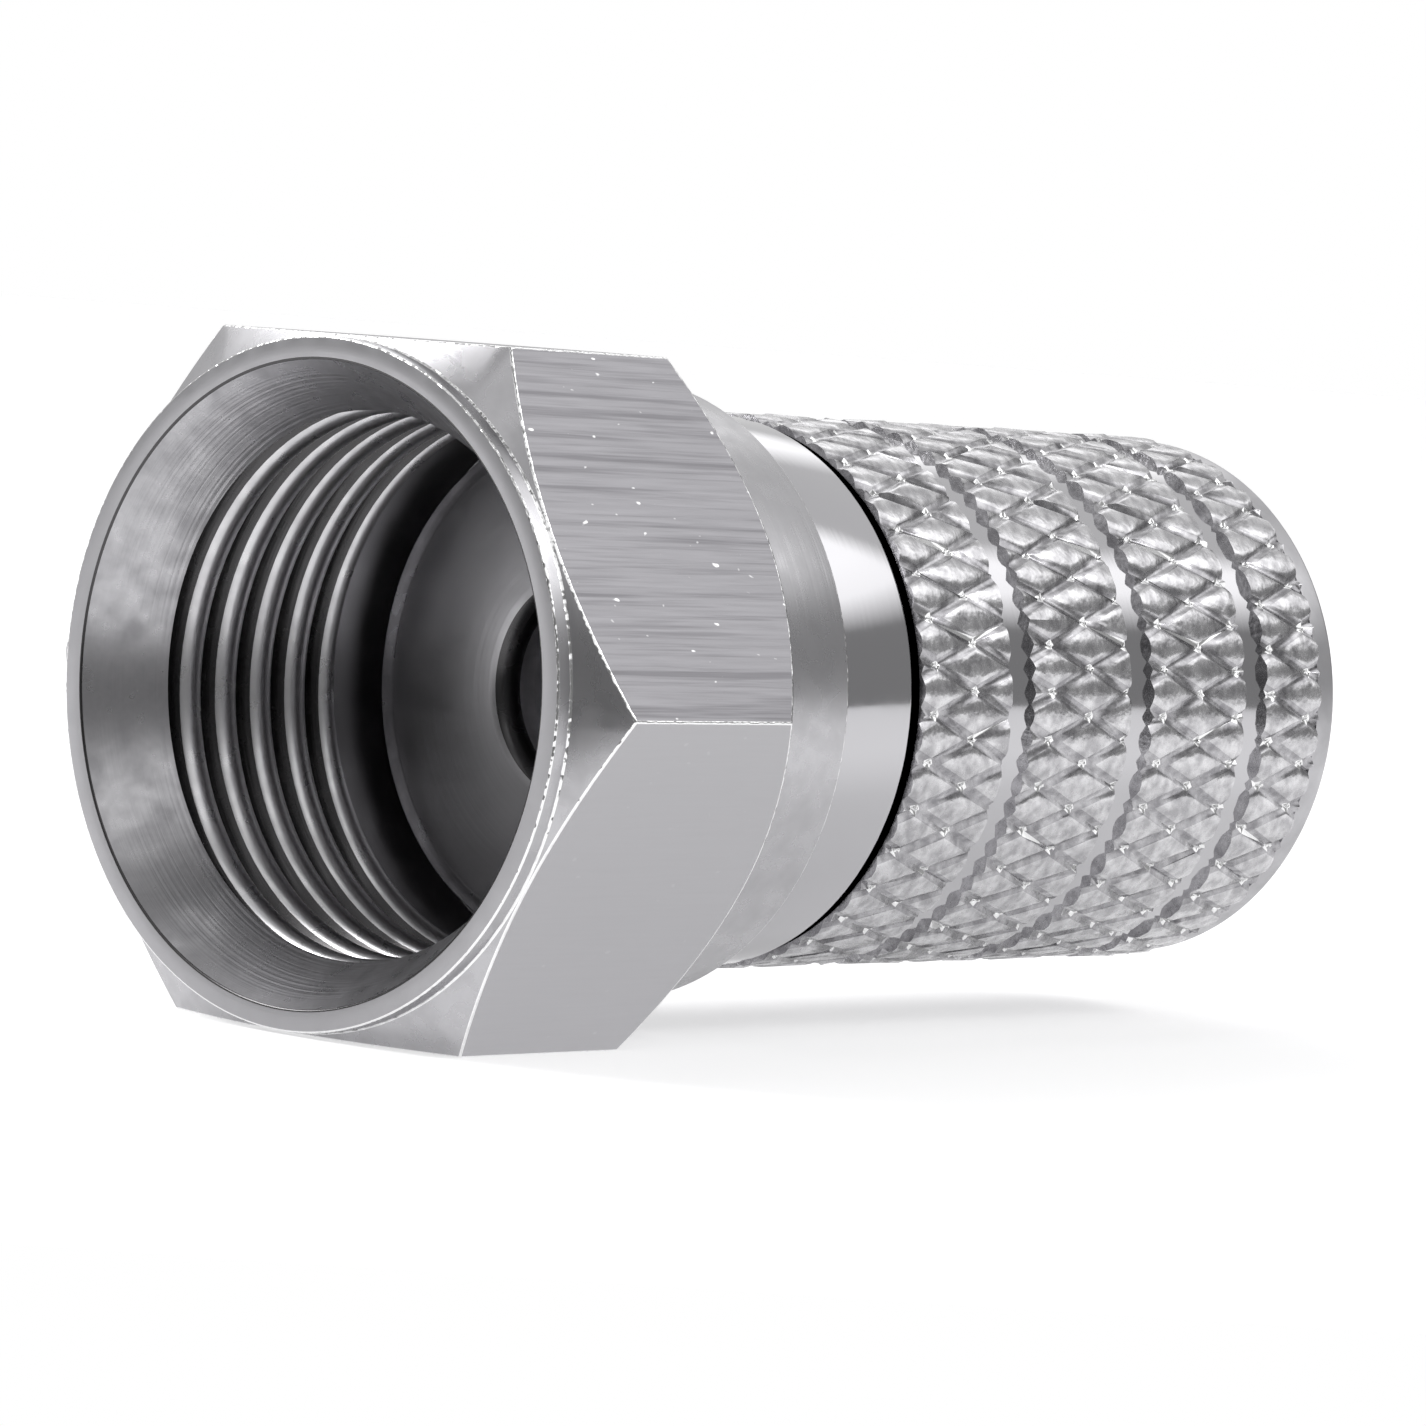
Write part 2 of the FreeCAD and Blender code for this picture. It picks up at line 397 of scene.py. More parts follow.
def smooth(piece, degrees=32, keep_flats=True):
    """Shade a finished piece smooth apart from its sharp edges, with its flats flat or not."""
    make_active(piece)
    bpy.ops.object.shade_smooth_by_angle(angle=math.radians(degrees))
    if keep_flats:
        apply_modifier(piece, "WEIGHTED_NORMAL", keep_sharp=True)


def sort_faces(piece, materials, choose):
    """Give a piece its materials, and each face the one that choose names for it."""
    names = list(materials)
    wanted = [choose(face, face.center, face.normal) for face in piece.data.polygons]
    piece.data.materials.clear()
    for name in names:
        piece.data.materials.append(materials[name])
    for face, name in zip(piece.data.polygons, wanted):
        face.material_index = names.index(name)


def nut_finish(sizes):
    """Rule that says which finish a face of the nut has; its rounded edges are material 1."""
    thread_start, thread_end = mount_span("coupling_thread")
    # The crests' lighter rubbed colour reaches 0.2 mm below them, so part of it is a highlight
    # painted down the thread's flanks.
    crest_limit = mount_radius("coupling_thread") + 0.2 * MM
    relief_start = thread_end + 0.08 * MM
    flat_limit = sizes.flat_distance - 0.02 * MM
    rear = sizes.length - sizes.collar_length - sizes.collar_step
    countersink_tilt = -0.5
    tilt_tolerance = 0.06
    land_tilt = -0.95
    flat_tilt = 0.02

    def choose(face, centre, normal):
        radius = math.hypot(centre.y, centre.z)
        outward = centre.y * normal.y + centre.z * normal.z
        if outward < -0.05 * radius:
            if centre.x < thread_start and abs(normal.x - countersink_tilt) < tilt_tolerance:
                return "mouth"
            if centre.x > relief_start:
                return "dish"
            # The deeper flanks and roots of the thread take a dark colour as painted shade.
            return "crest" if radius < crest_limit else "bore"
        # Rounded edges are painted bright as a highlight.
        if face.material_index == 1:
            return "edge"
        if normal.x < land_tilt:
            return "dish"
        # Flats facing up take darker colours as painted shade; the other flats keep the plain
        # nickel.
        if abs(normal.x) < flat_tilt and radius > flat_limit:
            return "drawn" if normal.z > 0.1 else "plain"
        return "collar" if centre.x > rear else "turned"
    return choose


def make_nut(sizes, materials):
    """Hexagon nut with chamfered ends, a rear collar, a lip and a cut inner thread."""
    overhang = 1 * MM
    run_in = 0.95
    run_out = 0.1 * MM
    sharpest_smooth = math.radians(24)
    nut = turned("hexagon_nut", nut_section(sizes), NUT_SEGMENTS)
    bar = hexagon_bar("hexagon_bar", sizes.flat_distance, -overhang, sizes.length + overhang)
    combine(nut, bar, "INTERSECT")
    for material in (materials["turned"], materials["edge"]):
        nut.data.materials.append(material)
    apply_modifier(nut, "BEVEL", width=sizes.edge, segments=3, limit_method="ANGLE",
                   angle_limit=sharpest_smooth, use_clamp_overlap=True, material=1)
    start, end = mount_span("coupling_thread")
    plug = screw_plug("thread_plug", mount_radius("coupling_thread"), sizes.thread_depth,
                      sizes.pitch, start * run_in, end + run_out)
    combine(nut, plug, "DIFFERENCE")
    sort_faces(nut, materials, nut_finish(sizes))
    smooth(nut)
    return nut


def knurl_spans(sizes):
    """Where each knurled stretch starts and ends along X."""
    start = body_shoulder(sizes) + sizes.band_length + sizes.undercut
    spans = []
    for length in (sizes.first_knurl, sizes.middle_knurl, sizes.middle_knurl, sizes.last_knurl):
        spans.append((start, start + length))
        start += length + sizes.groove_width
    return spans


def body_shoulder(sizes):
    """Where the body's plain band starts, just behind the nut."""
    return nut_high.x + sizes.end_play


def body_section(sizes):
    """Closed section of the turned body, as deep as the grooves along the knurl."""
    flange_rounding = 0.05 * MM
    shoulder_rounding = 0.06 * MM
    bevel_rounding = 0.08 * MM
    rim_rounding = 0.12 * MM
    mouth_rounding = 0.05 * MM
    crest = body_high.z
    band = crest - sizes.band_step
    groove = crest - sizes.knurl_depth - sizes.groove_depth
    rim = crest - sizes.rim_step
    shoulder = body_shoulder(sizes)
    band_end = shoulder + sizes.band_length
    spans = knurl_spans(sizes)
    knurl_start = spans[0][0]
    knurl_end = spans[-1][1]
    flange_front = body_low.x
    flange_back = flange_front + sizes.flange_length
    dish = sizes.flange_radius - sizes.flange_rim
    dish_floor = flange_front + sizes.dish_depth
    hole = mount_radius("wire_hole")
    bore = mount_radius("cable_bore")
    bore_front = mount_span("cable_bore")[0]
    return rounded([
        (flange_front, dish),
        (flange_front, sizes.flange_radius, flange_rounding),
        (flange_back, sizes.flange_radius),
        (flange_back, sizes.neck_radius),
        (shoulder, sizes.neck_radius),
        (shoulder, band, shoulder_rounding),
        (band_end - sizes.band_bevel, band, bevel_rounding),
        (band_end, band - sizes.band_bevel),
        (band_end, groove - sizes.undercut_depth),
        (knurl_start, groove - sizes.undercut_depth),
        (knurl_start, groove),
        (knurl_end, groove),
        (knurl_end, rim),
        (body_high.x - sizes.rim_bevel, rim, rim_rounding),
        (body_high.x, rim - sizes.rim_bevel, bevel_rounding),
        (body_high.x, bore + sizes.mouth_bevel, mouth_rounding),
        (body_high.x - sizes.mouth_bevel, bore, mouth_rounding),
        (bore_front, bore),
        (bore_front, hole),
        (dish_floor, hole, sizes.hole_rim),
    ])


def knurl_root(sizes):
    """Radius of the bottom of the knurl's grooves."""
    return body_high.z - sizes.knurl_depth


def knurl_sleeve(sizes, length):
    """Open sleeve of knurl diamonds about X that covers this length from any crossing on."""
    root = knurl_root(sizes)
    root_limit = root + 0.005 * MM
    half_turn = math.pi / sizes.knurl_count
    diamond = 2 * root * half_turn / math.tan(sizes.knurl_angle)
    rows = math.ceil(length / diamond) + 2
    unselect()
    bpy.ops.mesh.primitive_cylinder_add(vertices=sizes.knurl_count, radius=root, depth=diamond,
                                        end_fill_type="NOTHING", location=(-diamond / 2, 0, 0),
                                        rotation=ALONG_X)
    sleeve = start_piece("knurl_sleeve")
    apply_modifier(sleeve, "ARRAY", count=rows, use_relative_offset=False,
                   use_constant_offset=True, constant_offset_displace=(diamond, 0, 0),
                   use_merge_vertices=True, merge_threshold=MERGE_DISTANCE)
    facing_out(sleeve)
    edit(sleeve)
    bpy.ops.mesh.select_all(action="SELECT")
    bpy.ops.mesh.poke(offset=root * (1 - math.cos(half_turn)))
    bpy.ops.mesh.select_all(action="DESELECT")
    bpy.ops.mesh.select_mode(type="EDGE")
    mesh = bmesh.from_edit_mesh(sleeve.data)
    for line in mesh.edges:
        grid_line = all(len(end.link_edges) > 4 for end in line.verts)
        line.select_set(grid_line and not line.is_boundary)
    bmesh.update_edit_mesh(sleeve.data)
    bpy.ops.mesh.dissolve_edges(use_verts=False)
    bpy.ops.mesh.select_mode(type="FACE")
    bpy.ops.mesh.select_all(action="SELECT")
    rises = ((sizes.flank_width, sizes.knurl_depth - sizes.shoulder_drop),
             (sizes.shoulder_width, sizes.shoulder_drop))
    for width, rise in rises:
        bpy.ops.mesh.inset(thickness=width, depth=rise, use_individual=True, use_boundary=True,
                           use_even_offset=True)
    bpy.ops.mesh.select_all(action="DESELECT")
    bpy.ops.mesh.select_mode(type="VERT")
    mesh = bmesh.from_edit_mesh(sleeve.data)
    for corner in mesh.verts:
        corner.select_set(math.hypot(corner.co.y, corner.co.z) < root_limit)
    bmesh.update_edit_mesh(sleeve.data)
    bpy.ops.mesh.bevel(offset=sizes.pit_width / 2, affect="VERTICES", segments=1)
    bpy.ops.mesh.select_mode(type="FACE")
    bpy.ops.mesh.inset(thickness=sizes.pit_width / 4, depth=-sizes.pit_depth, use_individual=True)
    bpy.ops.mesh.select_all(action="SELECT")
    bpy.ops.transform.vertex_random(offset=sizes.roughing, uniform=0.5, normal=0.0, seed=7)
    done()
    return sleeve


def knurl_finish(sizes):
    """Rule for the finish of a knurl's face: its crests, its grooves painted darker as shade, or
    the pits in them painted bright as highlights.
    """
    root = knurl_root(sizes)
    pit_height = 0.02 * MM
    furrow_height = 0.065 * MM
    end_tilt = 0.9

    def choose(face, centre, normal):
        height = math.hypot(centre.y, centre.z) - root
        if abs(normal.x) > end_tilt:
            return "knurl"
        # Pits take a bright colour as a painted highlight, and the low flanks of the grooves a
        # darker colour as painted shade.
        if height < pit_height:
            return "glint"
        return "furrow" if height < furrow_height else "knurl"
    return choose


def knurl_band(sleeve, start, end, sizes):
    """Copy of the sleeve cut to one knurled stretch and closed as a ring that enters the body."""
    root = knurl_root(sizes)
    inner_radius = 0.9 * root
    period = 2 * math.pi / sizes.knurl_count * root / math.tan(sizes.knurl_angle)
    place = sizes.knurl_place + math.floor((start - sizes.knurl_place) / period) * period
    make_active(sleeve)
    bpy.ops.object.duplicate()
    band = bpy.context.object
    edit(band)
    bpy.ops.mesh.select_all(action="SELECT")
    bpy.ops.transform.translate(value=(place, 0, 0))
    cut_across(start, True, True)
    cut_across(end, False, True)
    done()
    facing_out(band)
    unselect()
    bpy.ops.mesh.primitive_cylinder_add(vertices=CORE_SEGMENTS, radius=inner_radius,
                                        depth=2 * (end - start),
                                        location=((start + end) / 2, 0, 0), rotation=ALONG_X)
    combine(band, start_piece("band_core"), "DIFFERENCE")
    return band


def body_finish(sizes):
    """Rule that says which finish a face of the turned body has."""
    jacket_limit = mount_radius("cable_bore") + sizes.jacket_depth
    neck_end = body_shoulder(sizes) - 0.01 * MM
    rim_start = knurl_spans(sizes)[-1][1]

    def choose(face, centre, normal):
        radius = math.hypot(centre.y, centre.z)
        inward = (centre.y * normal.y + centre.z * normal.z) < 0
        if centre.x < body_low.x + sizes.dish_depth:
            on_rim = radius > sizes.flange_radius - sizes.flange_rim
            return "mouth" if on_rim else "dish"
        # The neck inside the nut takes the dark colour painted as shade.
        if centre.x < neck_end:
            return "bore"
        if inward and radius < jacket_limit:
            return "mouth"
        return "satin" if centre.x > rim_start else "bright"
    return choose


def make_body(sizes, materials):
    """Turned body with its knurled bands and a coarse thread in the cable bore."""
    plain_depth = 1.5 * MM
    overhang = 0.5 * MM
    core = mount_radius("cable_bore") - 0.01 * MM
    body = turned("knurled_body", body_section(sizes), BODY_SEGMENTS)
    plug = screw_plug("jacket_thread_plug", core, sizes.jacket_depth, sizes.jacket_pitch,
                      mount_span("cable_bore")[0] + plain_depth, body_high.x + overhang)
    combine(body, plug, "DIFFERENCE")
    sort_faces(body, materials, body_finish(sizes))
    smooth(body)
    sleeve = knurl_sleeve(sizes, sizes.middle_knurl)
    bands = []
    for start, end in knurl_spans(sizes):
        band = knurl_band(sleeve, start, end, sizes)
        sort_faces(band, materials, knurl_finish(sizes))
        smooth(band, 75, keep_flats=False)
        bands.append(band)
    bpy.data.objects.remove(sleeve)
    make_active(body)
    for band in bands:
        band.select_set(True)
    bpy.ops.object.join()
    return body


def calculate(tree, operation, first, second=None):
    """Math node on sockets or numbers."""
    made = tree.nodes.new("ShaderNodeMath")
    made.operation = operation
    for index, value in enumerate((first, second)):
        if value is None:
            continue
        if isinstance(value, (int, float)):
            made.inputs[index].default_value = value
        else:
            tree.links.new(value, made.inputs[index])
    return made.outputs[0]


def in_millimetres(tree, stretch=(1, 1, 1)):
    """The surface's own place in millimetres, squeezed or stretched along each axis."""
    place = tree.nodes.new("ShaderNodeTexCoord")
    mapping = tree.nodes.new("ShaderNodeMapping")
    mapping.inputs["Scale"].default_value = [factor / MM for factor in stretch]
    tree.links.new(place.outputs["Object"], mapping.inputs["Vector"])
    return mapping.outputs["Vector"]


def around_axis(tree, along, outward):
    """Place along X and distance from the X axis, in millimetres, each times a factor."""
    parts = tree.nodes.new("ShaderNodeSeparateXYZ")
    tree.links.new(in_millimetres(tree), parts.inputs[0])
    squares = [calculate(tree, "MULTIPLY", part, part) for part in parts.outputs[1:]]
    radius = calculate(tree, "SQRT", calculate(tree, "ADD", *squares))
    joined = tree.nodes.new("ShaderNodeCombineXYZ")
    tree.links.new(calculate(tree, "MULTIPLY", parts.outputs[0], along), joined.inputs[0])
    tree.links.new(calculate(tree, "MULTIPLY", radius, outward), joined.inputs[1])
    return joined.outputs[0]


def noise(tree, place, scale, detail=2.0, rough=0.5):
    """Noise pattern at a place, with this many cells per unit."""
    made = tree.nodes.new("ShaderNodeTexNoise")
    tree.links.new(place, made.inputs["Vector"])
    made.inputs["Scale"].default_value = scale
    made.inputs["Detail"].default_value = detail
    made.inputs["Roughness"].default_value = rough
    return made.outputs["Fac"]


def spread(tree, value, low, high, to_low, to_high):
    """Map a value from one range to another, held at its ends."""
    made = tree.nodes.new("ShaderNodeMapRange")
    tree.links.new(value, made.inputs["Value"])
    numbers = {"From Min": low, "From Max": high, "To Min": to_low, "To Max": to_high}
    for name, number in numbers.items():
        made.inputs[name].default_value = number
    return made.outputs["Result"]


def bump(tree, height, depth, before=None):
    """Bump of a height pattern, this deep in millimetres, on top of another bump."""
    made = tree.nodes.new("ShaderNodeBump")
    made.inputs["Strength"].default_value = 1.0
    made.inputs["Distance"].default_value = depth * MM
    tree.links.new(height, made.inputs["Height"])
    if before:
        tree.links.new(before, made.inputs["Normal"])
    return made.outputs["Normal"]


def mix_colours(tree, factor, first, second):
    """Mix by a factor socket of two colours, the first a plain one or a socket."""
    made = tree.nodes.new("ShaderNodeMix")
    made.data_type = "RGBA"
    tree.links.new(factor, made.inputs["Factor"])
    if isinstance(first, bpy.types.NodeSocket):
        tree.links.new(first, made.inputs["A"])
    else:
        made.inputs["A"].default_value = (*first, 1)
    made.inputs["B"].default_value = (*second, 1)
    return made.outputs["Result"]


def new_nickel(name):
    """Empty metallic material, its node tree and its shader."""
    material = bpy.data.materials.new(name)
    material.use_nodes = True
    shader = material.node_tree.nodes["Principled BSDF"]
    shader.inputs["Metallic"].default_value = 1.0
    return material, material.node_tree, shader


def turned_nickel(name, clean, soiled, gloss, marks):
    """Plating over lathe marks this deep in millimetres, with faint soiling."""
    material, tree, shader = new_nickel(name)
    rings = noise(tree, around_axis(tree, 14.0, 14.0), 1.0, 3.0)
    blotches = noise(tree, in_millimetres(tree), 2.2, 3.0)
    tree.links.new(mix_colours(tree, spread(tree, blotches, 0.35, 0.7, 0.0, 0.6), clean, soiled),
                   shader.inputs["Base Color"])
    tree.links.new(spread(tree, blotches, 0.3, 0.7, gloss * 0.85, gloss * 1.15),
                   shader.inputs["Roughness"])
    tree.links.new(bump(tree, rings, marks), shader.inputs["Normal"])
    return material


def brushed_nickel(name, clean, soiled, bright, streaking):
    """Flats of the hexagon, drawn along the axis, with a few fine specks painted bright as
    highlights.
    """
    material, tree, shader = new_nickel(name)
    streaks = noise(tree, in_millimetres(tree, (0.10, 6.0, 6.0)), 1.0, 4.0, 0.7)
    fine = noise(tree, in_millimetres(tree, (0.7, 18.0, 18.0)), 1.0, 2.0)
    specks = noise(tree, in_millimetres(tree, (4.0, 7.0, 7.0)), 1.0, 1.0)
    # Fine specks painted bright as highlights.
    highlight_specks = spread(tree, specks, 0.74, 0.8, 0.0, streaking)
    drawn_colour = mix_colours(tree, spread(tree, streaks, 0.36, 0.52, 0.0, 1.0), soiled, clean)
    tree.links.new(mix_colours(tree, highlight_specks, drawn_colour, bright), shader.inputs["Base Color"])
    tree.links.new(spread(tree, fine, 0.3, 0.7, 0.28, 0.38), shader.inputs["Roughness"])
    drawn = bump(tree, streaks, 0.004 * streaking)
    combed = bump(tree, fine, 0.0015 * streaking, drawn)
    tree.links.new(combed, shader.inputs["Normal"])
    return material


def beaded_nickel(name, clean, beading):
    """Places painted bright as highlights, and beaded this deep in millimetres."""
    material, tree, shader = new_nickel(name)
    beads = noise(tree, in_millimetres(tree), 6.0, 1.0)
    shader.inputs["Base Color"].default_value = (*clean, 1)
    tree.links.new(spread(tree, beads, 0.3, 0.7, 0.12, 0.22), shader.inputs["Roughness"])
    tree.links.new(bump(tree, beads, beading), shader.inputs["Normal"])
    return material


def knurl_nickel(name, clean, soiled, gloss, dented):
    """Pressed knurl, with small torn places dented this deep in millimetres."""
    material, tree, shader = new_nickel(name)
    dents = noise(tree, in_millimetres(tree), 4.0, 2.0)
    grain = noise(tree, in_millimetres(tree), 14.0, 2.0)
    tree.links.new(mix_colours(tree, spread(tree, dents, 0.35, 0.65, 0.0, 1.0), soiled, clean),
                   shader.inputs["Base Color"])
    tree.links.new(spread(tree, grain, 0.3, 0.7, gloss * 0.8, gloss * 1.2),
                   shader.inputs["Roughness"])
    worn = bump(tree, dents, dented)
    tree.links.new(bump(tree, grain, 0.002, worn), shader.inputs["Normal"])
    return material


def all_materials(finish):
    """The finishes of the connector by name."""
    return {
        "turned": turned_nickel("turned_nickel", finish.nickel, finish.dull, 0.28, 0.0015),
        "bright": turned_nickel("bright_nickel", finish.nickel, finish.nickel, 0.09, 0.0006),
        "satin": turned_nickel("satin_nickel", finish.nickel, finish.dull, 0.38, 0.002),
        "mouth": turned_nickel("mouth_nickel", finish.nickel, finish.shade_and_dark_nickel, 0.3, 0.006),
        # Rubbed plating on the thread's crests, carried part way down the flanks as a painted
        # highlight.
        "crest": turned_nickel("crest_nickel", finish.worn, finish.nickel, 0.3, 0.002),
        # Dark colour painted as shade inside the thread and on the hidden neck.
        "bore": turned_nickel("bore_nickel", finish.painted_shade, finish.painted_shade, 0.26, 0.003),
        # Darker colours painted as shade on the upward flats, with specks painted bright as
        # highlights.
        "drawn": brushed_nickel("drawn_nickel", finish.shade_and_dark_nickel, finish.lines, finish.glint, 1.0),
        "plain": brushed_nickel("plain_nickel", finish.nickel, finish.nickel, finish.worn, 0.25),
        "collar": turned_nickel("collar_nickel", finish.nickel, finish.dull, 0.28, 0.002),
        "dish": turned_nickel("dish_nickel", finish.dull, finish.dull, 0.34, 0.002),
        # Rounded edges painted bright as a highlight.
        "edge": beaded_nickel("edge_nickel", finish.glint, 0.045),
        "knurl": knurl_nickel("knurl_nickel", finish.worn, finish.dull, 0.25, 0.016),
        # Grooves of the knurl painted darker as shade.
        "furrow": knurl_nickel("furrow_nickel", finish.nickel, finish.shade_and_dark_nickel, 0.28, 0.008),
        # Pits of the knurl painted bright as highlights.
        "glint": beaded_nickel("glint_nickel", finish.glint, 0.004),
    }


def background_lift(tree, direct, reflected):
    """Extra brightness of the floor to the camera, and to rays off a gloss or through glass."""
    rays = tree.nodes.new("ShaderNodeLightPath").outputs
    mirrored = calculate(tree, "MAXIMUM", rays["Is Glossy Ray"], rays["Is Transmission Ray"])
    return calculate(tree, "ADD", calculate(tree, "MULTIPLY", rays["Is Camera Ray"], direct),
                     calculate(tree, "MULTIPLY", mirrored, reflected))


def floor_material(finish):
    """Pale matt floor that shows white and keeps the object's shadow."""
    direct_lift = 0.5
    mirrored_lift = 0.43
    material = bpy.data.materials.new("studio_floor")
    material.use_nodes = True
    tree = material.node_tree
    shader = tree.nodes["Principled BSDF"]
    shader.inputs["Base Color"].default_value = (*finish.floor, 1)
    shader.inputs["Roughness"].default_value = 0.9
    shader.inputs["Specular IOR Level"].default_value = 0.0
    shader.inputs["Emission Color"].default_value = (1, 1, 1, 1)
    lift = background_lift(tree, direct_lift * finish.white, mirrored_lift * finish.white)
    tree.links.new(lift, shader.inputs["Emission Strength"])
    return material


def add_floor(finish):
    """Round floor under the connector, which ends close to it on the camera's side."""
    radius = 3.0
    near_edge = 0.025
    offset = (radius - near_edge) * math.sqrt(0.5)
    unselect()
    bpy.ops.mesh.primitive_circle_add(vertices=FLOOR_SEGMENTS, radius=radius, fill_type="NGON",
                                      location=(offset, offset, nut_low.z))
    floor = start_piece("floor")
    floor.data.materials.append(floor_material(finish))


def level_ramp(tree, value, stops):
    """Level along a value from 0 to 1, through these stops."""
    made = tree.nodes.new("ShaderNodeValToRGB")
    tree.links.new(value, made.inputs[0])
    band = made.color_ramp
    for element, (place, level) in zip(band.elements, (stops[0], stops[-1])):
        element.position = place
        element.color = (level, level, level, 1)
    for place, level in stops[1:-1]:
        band.elements.new(place).color = (level, level, level, 1)
    return made.outputs[0]


def light_studio(finish):
    """World that is white to the camera, and a banded soft studio to the light on the metal."""
    brightness = 1.9
    world = bpy.data.worlds.new("studio")
    bpy.context.scene.world = world
    world.use_nodes = True
    tree = world.node_tree
    tree.nodes.clear()
    direction = tree.nodes.new("ShaderNodeTexCoord")
    parts = tree.nodes.new("ShaderNodeSeparateXYZ")
    tree.links.new(direction.outputs["Generated"], parts.inputs[0])
    height = level_ramp(tree, parts.outputs[2],
                        [(0.0, 0.165), (0.34, 0.17), (0.48, 0.92), (0.6, 1.0),
                         (0.72, 1.0), (0.84, 0.5), (0.95, 0.25), (1.0, 0.25)])
    side = level_ramp(tree, spread(tree, parts.outputs[1], -1.0, 1.0, 0.0, 1.0),
                      [(0.0, 1.0), (0.36, 1.0), (0.41, 0.42),
                       (0.62, 0.42), (0.7, 1.0), (1.0, 1.0)])
    front = spread(tree, parts.outputs[0], -0.2, 0.6, 0.55, 1.0)
    far_side = spread(tree, parts.outputs[1], 0.0, 0.35, 0.0, 0.4)
    studio = tree.nodes.new("ShaderNodeBackground")
    level = calculate(tree, "MAXIMUM", calculate(tree, "MULTIPLY", height, side), far_side)
    tree.links.new(level, studio.inputs["Color"])
    tree.links.new(calculate(tree, "MULTIPLY", front, brightness), studio.inputs["Strength"])
    white = tree.nodes.new("ShaderNodeBackground")
    white.inputs["Color"].default_value = (1, 1, 1, 1)
    white.inputs["Strength"].default_value = finish.white
    path = tree.nodes.new("ShaderNodeLightPath")
    choice = tree.nodes.new("ShaderNodeMixShader")
    tree.links.new(path.outputs["Is Camera Ray"], choice.inputs[0])
    tree.links.new(studio.outputs[0], choice.inputs[1])
    tree.links.new(white.outputs[0], choice.inputs[2])
    output = tree.nodes.new("ShaderNodeOutputWorld")
    tree.links.new(choice.outputs[0], output.inputs["Surface"])


def add_lamp(name, place, aim, width, length, watts):
    """Rectangular soft lamp at a place, aimed at a point, its length across the connector."""
    unselect()
    bpy.ops.object.light_add(type="AREA", location=place)
    lamp = bpy.context.object
    lamp.name = name
    lamp.data.shape = "RECTANGLE"
    lamp.data.size = width
    lamp.data.size_y = length
    lamp.data.energy = watts
    lamp.rotation_euler = (Vector(aim) - Vector(place)).to_track_quat("-Z", "Y").to_euler()


def add_camera():
    """Camera at the photograph's viewing angle."""
    focal_pixels = 6711.4
    image_pixels = 1426
    yaw = math.radians(48.399)
    pitch = math.radians(-3.2285)
    roll = math.radians(4.1971)
    place = Vector((-74.03, -74.31, 5.929)) * MM
    ahead = Vector((math.sin(yaw) * math.cos(pitch), math.cos(yaw) * math.cos(pitch),
                    math.sin(pitch)))
    level = Vector((math.cos(yaw), -math.sin(yaw), 0))
    upright = level.cross(ahead)
    right = level * math.cos(roll) + upright * math.sin(roll)
    up = upright * math.cos(roll) - level * math.sin(roll)
    unselect()
    bpy.ops.object.camera_add(location=place)
    camera = bpy.context.object
    camera.name = "photo_camera"
    turn = Matrix((right, up, -ahead)).transposed()
    camera.rotation_euler = turn.to_euler()
    camera.data.sensor_width = 36.0
    camera.data.sensor_fit = "HORIZONTAL"
    camera.data.lens = focal_pixels / image_pixels * camera.data.sensor_width
    camera.data.clip_start = 0.001
    camera.data.clip_end = 10.0
    bpy.context.scene.camera = camera


class FCONNECTOR_OT_nut(bpy.types.Operator):
    """Model the coupling nut with its hexagon, chamfers and cut thread"""
    bl_idname = "fconnector.nut"
    bl_label = "Coupling Nut"

    def execute(self, context):
        materials = all_materials(context.scene.connector_finish)
        nut = make_nut(context.scene.connector_nut, materials)
        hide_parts("coupling_nut")
        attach(nut, "coupling_nut")
        return {"FINISHED"}


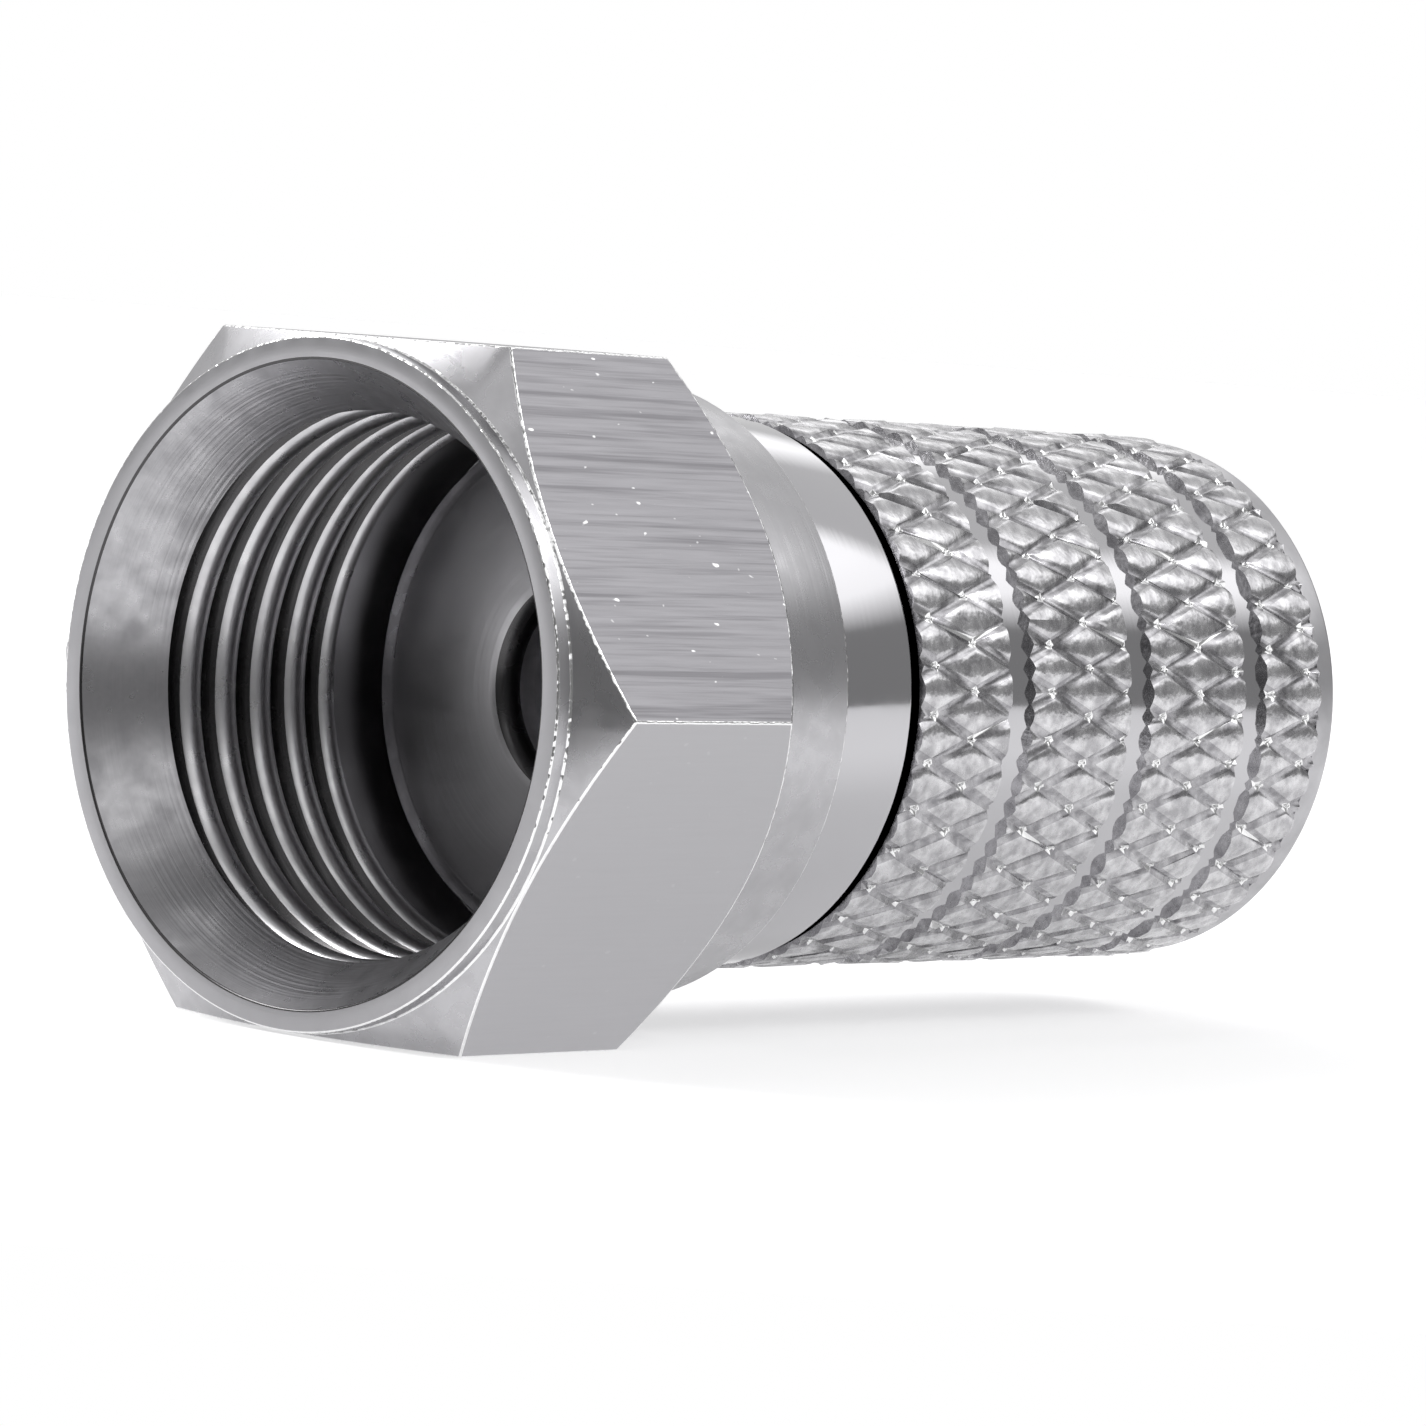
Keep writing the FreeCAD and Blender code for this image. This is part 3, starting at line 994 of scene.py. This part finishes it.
class FCONNECTOR_OT_body(bpy.types.Operator):
    """Model the connector body with its flange, plain band, knurl and cable bore"""
    bl_idname = "fconnector.body"
    bl_label = "Connector Body"

    def execute(self, context):
        materials = all_materials(context.scene.connector_finish)
        body = make_body(context.scene.connector_body, materials)
        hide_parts("connector_body")
        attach(body, "connector_body")
        return {"FINISHED"}


class FCONNECTOR_OT_stage(bpy.types.Operator):
    """Set up the floor, the soft lamps, the white background and the camera"""
    bl_idname = "fconnector.stage"
    bl_label = "Studio"

    def execute(self, context):
        finish = context.scene.connector_finish
        context.scene.view_settings.view_transform = "Standard"
        add_floor(finish)
        light_studio(finish)
        for lamp in LAMPS:
            add_lamp(*lamp)
        add_camera()
        return {"FINISHED"}


class FCONNECTOR_PT_panel(bpy.types.Panel):
    """Lists the connector's pieces and sizes"""
    bl_idname = "FCONNECTOR_PT_panel"
    bl_label = "Coaxial F Connector"
    bl_space_type = "VIEW_3D"
    bl_region_type = "UI"
    bl_category = "Connector"

    def draw(self, context):
        for operator in OPERATORS:
            self.layout.operator(operator.bl_idname)
        scene = context.scene
        for group in (scene.connector_nut, scene.connector_body, scene.connector_finish):
            box = self.layout.box()
            for name in group.bl_rna.properties.keys():
                if name not in ("rna_type", "name"):
                    box.prop(group, name)


OPERATORS = (FCONNECTOR_OT_nut, FCONNECTOR_OT_body, FCONNECTOR_OT_stage)
CLASSES = (NutSizes, BodySizes, Finish) + OPERATORS + (FCONNECTOR_PT_panel,)


def register():
    for item in CLASSES:
        bpy.utils.register_class(item)
    bpy.types.Scene.connector_nut = PointerProperty(type=NutSizes)
    bpy.types.Scene.connector_body = PointerProperty(type=BodySizes)
    bpy.types.Scene.connector_finish = PointerProperty(type=Finish)


def unregister():
    del bpy.types.Scene.connector_finish
    del bpy.types.Scene.connector_body
    del bpy.types.Scene.connector_nut
    for item in reversed(CLASSES):
        bpy.utils.unregister_class(item)


def main():
    """Build the connector and its stage."""
    register()
    bpy.ops.fconnector.nut()
    bpy.ops.fconnector.body()
    bpy.ops.fconnector.stage()
    bpy.context.view_layer.update()


if __name__ == "__main__":
    main()
